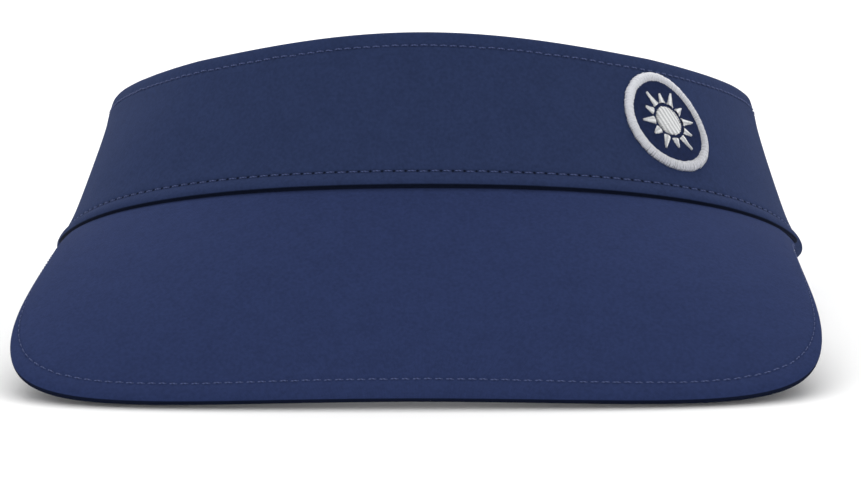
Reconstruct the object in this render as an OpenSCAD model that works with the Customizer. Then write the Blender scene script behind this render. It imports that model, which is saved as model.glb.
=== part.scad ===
// Sun visor with a wide curved brim, an open crown band and a
// hook-and-loop strap at the back.
// Millimetres, +Z up, brim towards -Y.  The visor lies on a table at z = 0
// on the front edge of its brim and on the lower edges of its rear straps.

/* [Band] */
// half width of the band outline at its lower edge
band_half_w = 100; // [99:0.5:101]
// half depth of the band outline at its lower edge
band_half_d = 84; // [82:0.5:86]
// bending radius of the forehead and of the rear straps
band_r = 114; // [112:1:118]

/* [Crown] */
// height of the brim seam above the table at the forehead
front_z = 45.4; // [42:0.2:50]
// height of the crown's lower edge above the table at the temples
side_z = 13; // [11:0.5:16]
// crown height along the cloth at the forehead
front_h = 44; // [40:0.5:48]
// crown height along the cloth at the temples
side_h = 48; // [44:0.5:50]
// crown height where the straps begin
rear_h = 28; // [27.5:0.5:32]
// backward lean of the crown at the forehead, degrees
front_lean = 33; // [26:1:38]
// inward lean of the crown at the temples, degrees
side_lean = 18.8; // [14:0.2:24]
// how far the temples rake backwards, as a slope
side_rake = 0.33; // [0:0.01:0.4]

/* [Brim] */
// distance of the brim's front edge ahead of the origin
brim_front = 140.5; // [134:0.5:148]
// direction of the brim's ends round the band, degrees from the front
brim_a = 79.4; // [77:0.2:83]
// sideways pull on the middle of the brim's edge
brim_w1 = 100.5; // [92:0.5:106]
// sideways pull on the brim's corners
brim_w2 = 125.5; // [118:0.5:132]
// sideways pull on the brim's edge below the temples
brim_w3 = 84.5; // [80:0.5:92]
// height of the edge above the table at the middle of the brim
brim_z = 2; // [1.9:0.1:3]
// outward fullness of the brim between seam and edge
brim_full = 2.4; // [1:0.2:4]
// thickness of the plastic board in the brim
board_t = 1.6; // [1.2:0.1:1.8]

/* [Sweatband] */
// height of the sweatband
sweat_h = 26; // [22:0.5:26.5]
// thickness of the sweatband with its padding
sweat_t = 2.9; // [2.4:0.1:3.4]

/* [Straps] */
// height of the rear straps
strap_h = 26; // [22:0.5:27]
// thickness of each strap
strap_t = 1.6; // [1.4:0.1:2]
// length of the overlap each side of the centre, degrees of the rear bend
strap_lap = 20; // [16:1:24]
// length of the peeling tab, degrees of the rear bend
tab_a = 23; // [18:1:28]

/* [Patch] */
// radius of the embroidered patch
patch_r = 13.9; // [11:0.1:14.4]
// direction of the patch round the band, degrees from the front
patch_a = 38.8; // [30:0.2:46]
// height of the patch centre along the crown
patch_w = 23.5; // [20:0.1:24.5]

/* [Hidden] */
// how far each run round the band bows away from its plain course
low_bow = 8.6;
lean_bow = 4.7;
tall_bow = -24;
// the brim's corners, ahead of its front edge and below it, and its flanks below the temples
corner_ahead = 1.5;
corner_z = -9.2;
flank_ahead = 83.5;
flank_z = 34.2;
// rows of stitching: below the top edge and above the lower edge
top_row = -3.5;
base_row = 4.4;
side_r = (pow(band_r - band_half_d, 2) + pow(band_half_w, 2) - pow(band_r, 2))
         / (2 * (band_half_w - band_r));
side_cx = band_half_w - side_r;
end_cy = band_r - band_half_d;
turn_a = atan2(side_cx, end_cy);
rear_a = 180 - turn_a;
$fn = 48;
$fa = 3;

// ---- the band's outline and the leaning crown cloth ----
function outline(p) = let (a = abs(p), s = sign(p))
    a < turn_a ? [s * band_r * sin(a), end_cy - band_r * cos(a)]
    : a < rear_a ? [s * (side_cx + side_r * sin(a)), -side_r * cos(a)]
    : [s * band_r * sin(a), -end_cy - band_r * cos(a)];
function ahead(p) = -outline(p)[1] / band_half_d;
rear_y = ahead(rear_a);
// a smooth run from the forehead value f through the temple value s to the strap value r,
// bowed by c between them
function run(p, f, s, r, c) = let (y = ahead(p), q = rear_y,
    g = ((r - s) / q - f + s) / (q - 1))
    s + (f - s - g) * y + g * y * y + c * y * (1 - y) * (y - q);
function low_z(p) = run(p, front_z, side_z, 0, low_bow);
function lean(p) = run(p, front_lean, side_lean, 0, lean_bow);
function tall(p) = run(p, front_h, side_h, rear_h, tall_bow);
function rake(p) = side_rake * pow(sin(p), 2) * min(1, 1 - ahead(p) / rear_y);
// a point of the crown: p round the band, w up the cloth, n out of the cloth
function crown_at(p, w, n) = let (o = outline(p), l = lean(p), k = rake(p),
    h = w / norm([sin(l), k, cos(l)]))
    [o[0] + sin(p) * (n * cos(l) - h * sin(l)),
     o[1] - cos(p) * (n * cos(l) - h * sin(l)) + h * k,
     low_z(p) + h * cos(l) + n * sin(l)];

// ---- closed skins swept through equal rings ----
module skin(rings) {
    m = len(rings[0]);
    k = len(rings);
    pts = [for (r = rings) for (q = r) q];
    sides = [for (i = [0 : k - 2]) for (j = [0 : m - 1])
        let (a = i * m + j, b = i * m + (j + 1) % m, c = a + m, d = b + m)
        each [[a, b, d], [a, d, c]]];
    polyhedron(pts, concat([[for (j = [m - 1 : -1 : 0]) j]], sides,
        [[for (j = [0 : m - 1]) (k - 1) * m + j]]), convexity = 8);
}
function steps(a, b, k) = [for (i = [0 : k]) a + (b - a) * i / k];
// a flat strip lying in the crown, from p = -a to a
module crown_strip(a, k, n0, n1, w0, w1, down = 0) {
    skin([for (p = steps(-a, a, k)) let (h = w1 < 0 ? tall(p) + w1 : w1)
        [crown_at(p, w0, n1), crown_at(p, w0, n0), crown_at(p, h / 2, n0),
         crown_at(p, h, n0), crown_at(p, h, n1), crown_at(p, h / 2, n1)]]);
}
// a sewn thread lying on the crown
module crown_thread(a, k, w, n) {
    skin([for (p = steps(-a, a, k)) let (h = w < 0 ? tall(p) + w : w)
        [crown_at(p, h - 0.25, n), crown_at(p, h, n - 0.12),
         crown_at(p, h + 0.25, n), crown_at(p, h, n + 0.25)]]);
}

// ---- the brim ----
function edge_at(u) = let (a = abs(u), s = sign(u) == 0 ? 1 : sign(u),
    t = a * (1.2 - 0.2 * a), r = 1 - t, e = crown_at(brim_a, -1.1, -0.3),
    b = [pow(r, 4), 4 * t * pow(r, 3), 6 * t * t * r * r, 4 * pow(t, 3) * r, pow(t, 4)],
    x = b[1] * brim_w1 + b[2] * brim_w2 + b[3] * brim_w3 + b[4] * e[0],
    y = -(b[0] + b[1]) * brim_front - b[2] * (brim_front + corner_ahead)
        - b[3] * flank_ahead + b[4] * e[1],
    z = (b[0] + b[1]) * brim_z + b[2] * corner_z + b[3] * flank_z + b[4] * e[2])
    [s * x, y, z];
function brim_mid(u, v) = let (a = crown_at(u * brim_a, -1.1, -0.3), b = edge_at(u),
    f = 4 * v * (1 - v) * brim_full * (1 - u * u), q = sin(u * 60), c = cos(u * 60))
    a + (b - a) * v + f * [0.6 * q, -0.6 * c, 0.8];
function unit(a) = a / norm(a);
// a point of the brim: u along it, d inwards from its edge, n out of its top
function brim_at(u, v, d, n) = let (
    g = norm(brim_mid(u, 1) - brim_mid(u, 0)), w = v - d / g,
    m = brim_mid(u, w), t = brim_mid(u, w + 0.01) - brim_mid(u, w - 0.01),
    s = brim_mid(u + 0.005, w) - brim_mid(u - 0.005, w))
    m + n * unit(cross(t, s));
// the brim narrows towards its ends, and its hem and thickness with it
function across(u) = norm(brim_mid(u, 1) - brim_mid(u, 0));
function hem(u) = min(1, across(u) / 12);
function thin(u) = min(1, 0.4 + 0.025 * across(u));
// top (k = 1) or under (k = -1) cloth, turned round the board at its edge
module brim_cloth(k) {
    h = board_t / 2 + 0.1;
    vs = [0, 0.15, 0.32, 0.5, 0.68, 0.84];
    rings = [for (u = steps(-0.965, 0.965, 64)) let (e = hem(u), q = k * thin(u)) concat(
        [for (v = vs) brim_at(u, v, 0, q * (h + 0.6))],
        [brim_at(u, 1, 1.2 * e, q * (h + 0.55)), brim_at(u, 1, 0.25 * e, q * (h + 0.1)),
         brim_at(u, 1, 0, q * 0.08), brim_at(u, 1, 0.6 * e, q * 0.08),
         brim_at(u, 1, e, q * h)],
        [for (i = [len(vs) - 1 : -1 : 0]) brim_at(u, vs[i], 0, q * h)])];
    skin(k > 0 ? [for (r = rings) [for (i = [len(r) - 1 : -1 : 0]) r[i]]] : rings);
}
module brim_board() color("#e9e9e4") {
    vs = steps(0.03, 0.87, 7);
    skin([for (u = steps(-0.93, 0.93, 72)) let (e = 1.4 * hem(u), h = thin(u) * board_t / 2)
        concat([for (i = [len(vs) - 1 : -1 : 0]) brim_at(u, vs[i], 0, h)],
            [for (v = vs) brim_at(u, v, 0, -h)],
            [brim_at(u, 1, e, -h), brim_at(u, 1, e, h)])]);
}
module brim_top_cover() color("#2c3759") brim_cloth(1);
module brim_under_cover() color("#2a3555") brim_cloth(-1);
module brim_edge_stitching() color("#8d98b8") {
    skin([for (u = steps(-0.95, 0.95, 64))
        let (d = 5.4 * hem(u), h = thin(u) * (board_t / 2 + 0.7) + 0.25)
        [brim_at(u, 1, d, h + 0.25), brim_at(u, 1, d + 0.25, h), brim_at(u, 1, d, h - 0.1),
         brim_at(u, 1, d - 0.25, h)]]);
}

// ---- the crown ----
// outer cloth: a soft roll over the brim, and a turned hem along the top
module crown_shell() color("#2b3656") {
    skin([for (p = steps(-rear_a + 0.3, rear_a - 0.3, 76)) let (h = tall(p),
        prof = [[-0.4, 0.2], [0.5, 0], [1.2, 0.2], [1.6, 1.2], [1.25, 2.6], [0.6, 3.8],
            [0.4, 6], [0.4, h / 2], [0.4, h - 5], [0.4, h - 2.2], [0.1, h - 0.6], [-0.9, h],
            [-1.9, h - 0.5], [-2.3, h - 1.8], [-2.3, h - 8], [-1.7, h - 8],
            [-1.7, h - 1.6], [-0.4, h - 1.6], [-0.4, h / 2]])
        [for (i = [len(prof) - 1 : -1 : 0]) crown_at(p, prof[i][1], prof[i][0])]]);
}
module crown_stiffener() color("#d9d9d4") crown_strip(rear_a - 1.5, 76, -1.45, -0.65, 0.6, -2.2);
module crown_lining() color("#27304d") crown_strip(rear_a - 1.5, 76, -2.3, -1.7, 0.6, -8.3);
module seam_tape() color("#e8e8e6") crown_strip(rear_a - 4, 60, -5, -0.6, 0.02, 0.45);
module crown_top_stitching() color("#8d98b8") crown_thread(rear_a - 1, 76, top_row, 0.58);
module crown_base_stitching() color("#8d98b8") crown_thread(rear_a - 1, 76, base_row, 0.72);

// ---- the sweatband: a folded strip round a soft pad ----
module sweatband() color("#e7e9ec") {
    n0 = -2.5 - sweat_t;
    skin([for (p = steps(-rear_a + 4, rear_a - 4, 60)) let (h = sweat_h + 1,
        prof = [[-2.5, 0.8], [-2.5, h - 1], [-3, h], [n0 + 0.5, h], [n0, h - 1], [n0, 0.8],
            [n0 + 0.5, 0.8], [n0 + 0.5, h - 0.5], [-3, h - 0.5], [-3, 0.8]])
        [for (q = prof) crown_at(p, q[1], q[0])]]);
}
module sweatband_padding() color("#f3f1ea")
    crown_strip(rear_a - 4.3, 60, -1.9 - sweat_t, -3.1, 1, sweat_h + 0.4);
module sweatband_stitching() color("#f4f4f2") {
    n = -2.7 - sweat_t;
    skin([for (p = steps(-rear_a + 5, rear_a - 5, 60))
        [crown_at(p, 4.75, n - 0.1), crown_at(p, 4.5, n - 0.35),
         crown_at(p, 4.25, n - 0.1), crown_at(p, 4.5, n - 0.02)]]);
}
module care_label() color("#f5f5f3") {
    n = -2.85 - sweat_t;
    skin([for (p = steps(96, 107, 8))
        [crown_at(p, 7, n - 0.35), crown_at(p, 7, n), crown_at(p, 24, n),
         crown_at(p, 24, n - 0.35)]]);
}

// ---- the patch: shapes drawn flat and laid on the crown ----
front_run = band_r * turn_a;
function run_to(p) = p < turn_a ? band_r * p : front_run + side_r * (p - turn_a);
function turn_at(s) = s < front_run ? s / band_r : turn_a + (s - front_run) / side_r;
function patch_at(a, b, n) = let (s = run_to(patch_a), e = 200,
    c = crown_at(patch_a, patch_w, 0),
    f = (crown_at(turn_at(s + e), patch_w, 0) - crown_at(turn_at(s - e), patch_w, 0)) / (2 * e),
    g = unit(crown_at(patch_a, patch_w + 1, 0) - c), k = f * g, l = norm(f - k * g))
    crown_at(turn_at(s + a / l), patch_w + b - a * k / l, n);
// a ring or disc of the patch between two radii, given as [radius, height] pairs
module patch_ring(prof, k) {
    m = len(prof);
    pts = [for (i = [0 : k - 1]) for (q = prof) let (t = 360 * i / k)
        patch_at(q[0] * cos(t), q[0] * sin(t), q[1])];
    polyhedron(pts, [for (i = [0 : k - 1]) for (j = [0 : m - 1])
        let (a = i * m + j, b = i * m + (j + 1) % m, c = ((i + 1) % k) * m + j,
             d = ((i + 1) % k) * m + (j + 1) % m)
        each [[a, c, d], [a, d, b]]], convexity = 4);
}
// a filled shape of the patch: radius by direction, between two heights
module patch_disc(rad, lo, hi) {
    k = len(rad);
    rim = [for (f = [1, 0.5]) for (z = [lo, hi]) for (i = [0 : k - 1])
        let (t = 360 * i / k) patch_at(f * rad[i] * cos(t), f * rad[i] * sin(t), z)];
    function wall(a, b) = [for (i = [0 : k - 1]) let (j = (i + 1) % k)
        each [[a + i, b + i, b + j], [a + i, b + j, a + j]]];
    polyhedron(concat(rim, [patch_at(0, 0, lo), patch_at(0, 0, hi)]), concat(
        wall(0, k), wall(k, 3 * k), wall(2 * k, 0),
        [for (i = [0 : k - 1]) [4 * k, 2 * k + i, 2 * k + (i + 1) % k]],
        [for (i = [0 : k - 1]) [4 * k + 1, 3 * k + (i + 1) % k, 3 * k + i]]), convexity = 4);
}
module patch_base() color("#202b4d") patch_disc([for (i = [0 : 47]) patch_r - 2.3], 0.5, 1.1);
module patch_border() color("#d8dde6")
    patch_ring([[patch_r - 2.2, 0.5], [patch_r, 0.5], [patch_r + 0.1, 1], [patch_r - 0.4, 1.6],
        [patch_r - 1.1, 1.8], [patch_r - 1.8, 1.6], [patch_r - 2.2, 1.1]], 48);
module patch_emblem() color("#eef0f3")
    patch_disc([for (i = [0 : 31]) (i % 4 < 2 ? 0.44 : 0.27) * patch_r], 1.15, 1.5);

// ---- the rear straps: true arcs about the rear bend's centre ----
// a bent bar from direction a0 to a1, n out of the band line
module arc_bar(a0, a1, n0, n1, z0, z1) {
    translate([0, -end_cy, 0]) rotate([0, 0, min(a0, a1) - 90])
        rotate_extrude(angle = abs(a1 - a0), $fn = 240)
            translate([band_r + n0, z0]) square([n1 - n0, z1 - z0]);
}
// a strap sleeve: cloth round a stiff core, open at its two ends
module sleeve(a0, a1, n0) {
    translate([0, -end_cy, 0]) rotate([0, 0, min(a0, a1) - 90])
        rotate_extrude(angle = abs(a1 - a0), $fn = 240) difference() {
            translate([band_r + n0, 0]) square([strap_t, strap_h]);
            translate([band_r + n0 + 0.4, 0.4]) square([strap_t - 0.8, strap_h - 0.8]);
        }
}
module core(a0, a1, n0) {
    arc_bar(a0, a1, n0 + 0.45, n0 + strap_t - 0.45, 0.45, strap_h - 0.45);
}
left_n = 0.2;
right_n = -2.25 - strap_t;
start_a = rear_a + 0.2;
tab_start = 180 + strap_lap - tab_a;
lap_end = 180 + strap_lap;

module left_strap() color("#2b3656") sleeve(start_a, tab_start - 0.2, left_n);
module left_strap_core() color("#dcdcd6") core(start_a + 0.4, tab_start - 0.6, left_n);
module hook_tab() color("#2b3656") sleeve(tab_start, lap_end, left_n);
module hook_tab_core() color("#dcdcd6") core(tab_start + 0.4, lap_end - 0.4, left_n);
module hook_tape() color("#1c2338")
    arc_bar(tab_start + 0.8, lap_end - 0.8, left_n - 1.05, left_n - 0.05, 2.5, strap_h - 2.5);
module right_strap() color("#2b3656") sleeve(-lap_end, -start_a, right_n);
module right_strap_core() color("#dcdcd6") core(-lap_end + 0.4, -start_a - 0.4, right_n);
module loop_tape() color("#1f2740")
    arc_bar(-lap_end + 0.8, -rear_a - 22, -2.2, -1.2, 2.5, strap_h - 2.5);

// a row of thread along a strap face, framing it on three sides
module strap_thread(a0, a1, n0, n1, m) {
    arc_bar(a0, a1, n0, n1, m, m + 0.4);
    arc_bar(a0, a1, n0, n1, strap_h - m - 0.4, strap_h - m);
    arc_bar(max(a0, a1) - 0.2, max(a0, a1), n0, n1, m, strap_h - m);
}
left_out = left_n + strap_t;
module left_strap_stitching() color("#8d98b8")
    strap_thread(start_a + 0.6, tab_start - 0.8, left_out + 0.02, left_out + 0.3, 1.6);
module hook_tab_stitching() color("#8d98b8")
    strap_thread(tab_start + 0.6, lap_end - 0.8, left_out + 0.02, left_out + 0.3, 1.6);
module right_strap_stitching() color("#8d98b8")
    strap_thread(-lap_end + 0.8, -start_a - 0.6, right_n - 0.3, right_n - 0.02, 1.6);
// a dense bar of thread where each strap is sewn to the crown
module strap_tack(s) {
    skin([for (w = steps(7, rear_h - 6, 6)) let (a = s * (rear_a - 2.2))
        [crown_at(a - 0.5, w, 0.55), crown_at(a - 0.3, w, 0.85),
         crown_at(a + 0.3, w, 0.85), crown_at(a + 0.5, w, 0.55)]]);
}
module left_strap_tack() color("#8d98b8") strap_tack(1);
module right_strap_tack() color("#8d98b8") strap_tack(-1);

crown_shell();
crown_stiffener();
crown_lining();
seam_tape();
sweatband();
sweatband_padding();
care_label();
brim_board();
brim_top_cover();
brim_under_cover();
crown_top_stitching();
crown_base_stitching();
brim_edge_stitching();
sweatband_stitching();
patch_base();
patch_border();
patch_emblem();
left_strap_tack();
right_strap_tack();
left_strap();
left_strap_core();
left_strap_stitching();
hook_tab();
hook_tab_core();
hook_tape();
hook_tab_stitching();
right_strap();
right_strap_core();
right_strap_stitching();
loop_tape();
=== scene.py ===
import math

import bpy
import numpy as np
from mathutils import Matrix, Vector


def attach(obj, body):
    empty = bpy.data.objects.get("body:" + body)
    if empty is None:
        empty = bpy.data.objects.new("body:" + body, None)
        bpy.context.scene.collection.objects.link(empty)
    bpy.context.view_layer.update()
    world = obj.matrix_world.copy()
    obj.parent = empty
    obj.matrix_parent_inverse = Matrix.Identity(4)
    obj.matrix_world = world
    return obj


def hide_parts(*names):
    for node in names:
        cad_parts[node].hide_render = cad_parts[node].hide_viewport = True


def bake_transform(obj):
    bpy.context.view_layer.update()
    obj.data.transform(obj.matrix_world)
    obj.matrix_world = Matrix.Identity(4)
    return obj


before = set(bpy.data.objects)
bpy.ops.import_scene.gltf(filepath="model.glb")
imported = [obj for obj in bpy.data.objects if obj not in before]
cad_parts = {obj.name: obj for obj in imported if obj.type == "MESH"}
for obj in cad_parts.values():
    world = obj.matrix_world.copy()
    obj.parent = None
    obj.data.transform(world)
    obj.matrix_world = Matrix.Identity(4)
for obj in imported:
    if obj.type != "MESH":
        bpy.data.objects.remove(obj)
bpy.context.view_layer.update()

# A sun visor: a wide curved brim, an open crown band with a round patch, a
# padded sweatband, and a hook-and-loop strap behind.  Every length below is in
# millimetres until it reaches a mesh, which is in metres.
MM = 0.001
CROWN, LEFT, TAB, RIGHT = "visor_body", "left_strap_body", "hook_tab_body", "right_strap_body"

# ------------------------------------------------------------ the crown band
BAND_W, BAND_D, BAND_R = 100.0, 84.0, 114.0
FRONT_Z, SIDE_Z, Z_BOW = 45.4, 13.0, 8.6
FRONT_H, SIDE_H, REAR_H, H_BOW = 44.0, 48.0, 28.0, -24.0
FRONT_LEAN, SIDE_LEAN, LEAN_BOW, SIDE_RAKE = 33.0, 18.8, 4.7, 0.33
SIDE_R = ((BAND_R - BAND_D) ** 2 + BAND_W ** 2 - BAND_R ** 2) / (2 * (BAND_W - BAND_R))
SIDE_CX = BAND_W - SIDE_R
END_CY = BAND_R - BAND_D
TURN_A = math.degrees(math.atan2(SIDE_CX, END_CY))
REAR_A = 180.0 - TURN_A
FRONT_RUN = BAND_R * math.radians(TURN_A)
REAR_RUN = FRONT_RUN + SIDE_R * math.radians(REAR_A - TURN_A)
REAR_Y = (END_CY + BAND_R * math.cos(math.radians(REAR_A))) / BAND_D


def outline(p):
    """The band's lower edge seen from above, p degrees round from the front."""
    a, s = np.abs(p), np.sign(p)
    t = np.radians(a)
    side = (a >= TURN_A) & (a < REAR_A)
    x = np.where(side, SIDE_CX + SIDE_R * np.sin(t), BAND_R * np.sin(t))
    y = np.where(side, -SIDE_R * np.cos(t),
                 np.where(a < TURN_A, END_CY, -END_CY) - BAND_R * np.cos(t))
    return s * x, y


def run_of(p):
    """Length round the band from the middle of the forehead to direction p."""
    a = abs(p)
    if a < TURN_A:
        s = BAND_R * math.radians(a)
    elif a < REAR_A:
        s = FRONT_RUN + SIDE_R * math.radians(a - TURN_A)
    else:
        s = REAR_RUN + BAND_R * math.radians(a - REAR_A)
    return math.copysign(s, p)


def direction_at(s):
    """The direction that lies s round the band: run_of the other way about."""
    a = np.abs(s)
    p = np.where(a < FRONT_RUN, np.degrees(a / BAND_R),
                 np.where(a < REAR_RUN, TURN_A + np.degrees((a - FRONT_RUN) / SIDE_R),
                          REAR_A + np.degrees((a - REAR_RUN) / BAND_R)))
    return np.sign(s) * p


def drift(p, front, side, rear, bow):
    """A value that changes smoothly from the forehead past the temples to the straps."""
    y, q = -outline(p)[1] / BAND_D, REAR_Y
    g = ((rear - side) / q - front + side) / (q - 1)
    return side + (front - side - g) * y + g * y * y + bow * y * (1 - y) * (y - q)


def crown_height(p):
    return drift(p, FRONT_H, SIDE_H, REAR_H, H_BOW)


def crown_at(p, w, n):
    """A point of the crown: p degrees round, w up the cloth, n out of it."""
    x, y = outline(p)
    t = np.radians(p)
    lean = np.radians(drift(p, FRONT_LEAN, SIDE_LEAN, 0.0, LEAN_BOW))
    rake = SIDE_RAKE * np.sin(t) ** 2 * np.minimum(1.0, 1.0 + y / BAND_D / REAR_Y)
    h = w / np.sqrt(1.0 + rake ** 2)
    out = n * np.cos(lean) - h * np.sin(lean)
    z = drift(p, FRONT_Z, SIDE_Z, 0.0, Z_BOW) + h * np.cos(lean) + n * np.sin(lean)
    return np.stack(np.broadcast_arrays(x + np.sin(t) * out, y - np.cos(t) * out + h * rake, z), -1)


def on_crown(s, w, n):
    return crown_at(direction_at(np.asarray(s, float)), w, n)


def on_strap(s, z, n):
    """The upright band behind the crown: s round it, z up, n outwards."""
    p = direction_at(np.asarray(s, float))
    x, y = outline(p)
    t = np.radians(p)
    return np.stack(np.broadcast_arrays(x + np.sin(t) * n, y - np.cos(t) * n, z), -1)


# ------------------------------------------------------------------ the brim
BRIM_FRONT, BRIM_A, BRIM_FULL, BRIM_Z = 140.5, 79.4, 2.4, 2.0
BRIM_W1, BRIM_W2, BRIM_W3 = 100.5, 125.5, 84.5
CORNER_AHEAD, CORNER_Z, FLANK_AHEAD, FLANK_Z = 1.5, -9.2, 83.5, 34.2
BRIM_END = 0.965  # share of the way round to its points that the brim's cloth goes
HEM, BRIM_ROW, BRIM_PITCH = 9.0, 5.4, 2.7


def brim_edge(u):
    """The brim's free edge, u from -1 at one end of it to 1 at the other."""
    a, s = np.abs(u), np.where(u < 0, -1.0, 1.0)
    t = a * (1.2 - 0.2 * a)
    r = 1 - t
    end = crown_at(np.float64(BRIM_A), -1.1, -0.3)
    b = [r ** 4, 4 * t * r ** 3, 6 * t * t * r * r, 4 * t ** 3 * r, t ** 4]
    x = b[1] * BRIM_W1 + b[2] * BRIM_W2 + b[3] * BRIM_W3 + b[4] * end[0]
    y = (-(b[0] + b[1]) * BRIM_FRONT - b[2] * (BRIM_FRONT + CORNER_AHEAD) - b[3] * FLANK_AHEAD
         + b[4] * end[1])
    z = (b[0] + b[1]) * BRIM_Z + b[2] * CORNER_Z + b[3] * FLANK_Z + b[4] * end[2]
    return np.stack([s * x, y, z], -1)


def brim_mid(u, v):
    """The brim's middle layer: v from the seam to the edge, with some fullness."""
    u, v = np.broadcast_arrays(u, v)
    a, b = crown_at(u * BRIM_A, -1.1, -0.3), brim_edge(u)
    f = (4 * v * (1 - v) * BRIM_FULL * (1 - u * u))[..., None]
    q = np.radians(u * 60)
    lift = np.stack([0.6 * np.sin(q), -0.6 * np.cos(q), np.full_like(q, 0.8)], -1)
    return a + (b - a) * v[..., None] + f * lift


def unit(a):
    return a / np.linalg.norm(a, axis=-1, keepdims=True)


def brim_width(u):
    return np.linalg.norm(brim_mid(u, 1.0) - brim_mid(u, 0.0), axis=-1)


def hem_scale(u):
    """Towards its ends the brim narrows, and its hem narrows with it."""
    return np.minimum(1.0, 0.8 * brim_width(u) / HEM)


def thin(u):
    """Towards its ends the brim is pressed thinner."""
    return np.minimum(1.0, 0.4 + 0.025 * brim_width(u))


def brim_at(u, v, d, n):
    """A point of the brim: v from seam to edge, less d, and n above its middle."""
    w = v - d / brim_width(u)
    t = brim_mid(u, w + 0.01) - brim_mid(u, w - 0.01)
    s = brim_mid(u + 0.004, w) - brim_mid(u - 0.004, w)
    return brim_mid(u, w) + np.asarray(n, float)[..., None] * unit(np.cross(t, s))


def measure_brim():
    """Length along the brim's stitched row, by place along the brim."""
    u = np.linspace(-BRIM_END, BRIM_END, 4001)
    row = brim_at(u, 1.0, BRIM_ROW * hem_scale(u), 0.0 * u)
    gone = np.concatenate([[0.0], np.cumsum(np.linalg.norm(np.diff(row, axis=0), axis=1))])
    return u, gone - gone[-1] / 2


BRIM_U, BRIM_RUN = measure_brim()


def on_brim(s, d, n):
    """Near the brim's edge: s along the stitched row, d in from the edge."""
    u = np.interp(s, BRIM_RUN, BRIM_U)
    return brim_at(u, 1.0, d * hem_scale(u), n * thin(u))


# ----------------------------------------------------------------- the patch
PATCH_R, PATCH_A, PATCH_W = 13.9, 38.8, 23.5


def patch_frame():
    """How far a step round the patch's flat x axis goes round and up the crown."""
    s, e = run_of(PATCH_A), 3.5
    across = (on_crown(s + e, PATCH_W, 0.0) - on_crown(s - e, PATCH_W, 0.0)) / (2 * e)
    up = unit(on_crown(s, PATCH_W + 1.0, 0.0) - on_crown(s, PATCH_W, 0.0))
    slant = float(across @ up)
    return s, slant, float(np.linalg.norm(across - slant * up))


PATCH_S, PATCH_SLANT, PATCH_REACH = patch_frame()


def on_patch(x, y, z):
    """Lays the patch, drawn flat about its middle, on the crown."""
    return on_crown(PATCH_S + x / PATCH_REACH, PATCH_W + y - x * PATCH_SLANT / PATCH_REACH, z)


# -------------------------------------------------------------- mesh by hand
def start_clean():
    if bpy.context.mode != 'OBJECT':
        bpy.ops.object.mode_set(mode='OBJECT')
    bpy.ops.object.select_all(action='DESELECT')


def choose(obj):
    start_clean()
    obj.select_set(True)
    bpy.context.view_layer.objects.active = obj


def edit_all():
    bpy.ops.object.mode_set(mode='EDIT')
    bpy.ops.mesh.select_all(action='SELECT')


def close_edit():
    """Turns every face outwards, and leaves the piece unturned at the origin."""
    bpy.ops.mesh.select_all(action='SELECT')
    bpy.ops.mesh.normals_make_consistent(inside=False)
    bpy.ops.object.mode_set(mode='OBJECT')
    bpy.ops.object.transform_apply(location=True, rotation=True, scale=True)


def points_of(mesh):
    return np.array([v.co for v in mesh.vertices])


def move_points(mesh, at):
    mesh.vertices.foreach_set("co", at.ravel())
    mesh.update()


def smooth(obj, angle=None):
    choose(obj)
    if angle:
        bpy.ops.object.shade_smooth_by_angle(angle=math.radians(angle))
    else:
        bpy.ops.object.shade_smooth()
    return obj


def model_wire(points, thick, sides=6):
    """A round thread extruded along points in the x-z plane, a section at a time.
    Returns its points in millimetres and its faces."""
    start_clean()
    pts = [Vector((p[0], 0.0, p[1])) * MM for p in points]
    heading = [math.atan2((b - a).z, (b - a).x) for a, b in zip(pts, pts[1:])]
    bpy.ops.mesh.primitive_circle_add(vertices=sides, radius=thick / 2 * MM, fill_type='NGON',
                                      location=pts[0], rotation=(0, math.pi / 2 - heading[0], 0))
    obj = bpy.context.object
    edit_all()
    turned = heading[0]
    for k in range(1, len(pts)):
        bpy.ops.mesh.extrude_region_move(
            TRANSFORM_OT_translate={"value": pts[k] - pts[k - 1]})
        ahead = (heading[k - 1] + heading[min(k, len(heading) - 1)]) / 2
        if abs(ahead - turned) > 1e-4:
            bpy.ops.transform.rotate(value=ahead - turned, orient_axis='Y',
                                     center_override=pts[k])
        turned = ahead
    close_edit()
    verts = points_of(obj.data) / MM
    faces = [list(f.vertices) for f in obj.data.polygons]
    bpy.data.objects.remove(obj)
    return verts, faces


def low_arch(length, rise, sink):
    """Points of a stitch: up out of one hole, along, and down into the next."""
    return [(length / 2 * k, rise - (rise + sink) * abs(k) ** 2.8)
            for k in np.linspace(-1.0, 1.0, 7)]


def new_object(name, verts, faces, maps=None):
    mesh = bpy.data.meshes.new(name)
    mesh.from_pydata((np.asarray(verts) * MM).tolist(), [], faces)
    for label, flat in (maps or {}).items():
        layer = mesh.uv_layers.new(name=label)
        layer.data.foreach_set("uv", (np.asarray(flat, np.float32) * MM).ravel())
    mesh.update()
    obj = bpy.data.objects.new(name, mesh)
    bpy.context.scene.collection.objects.link(obj)
    return obj


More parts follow.
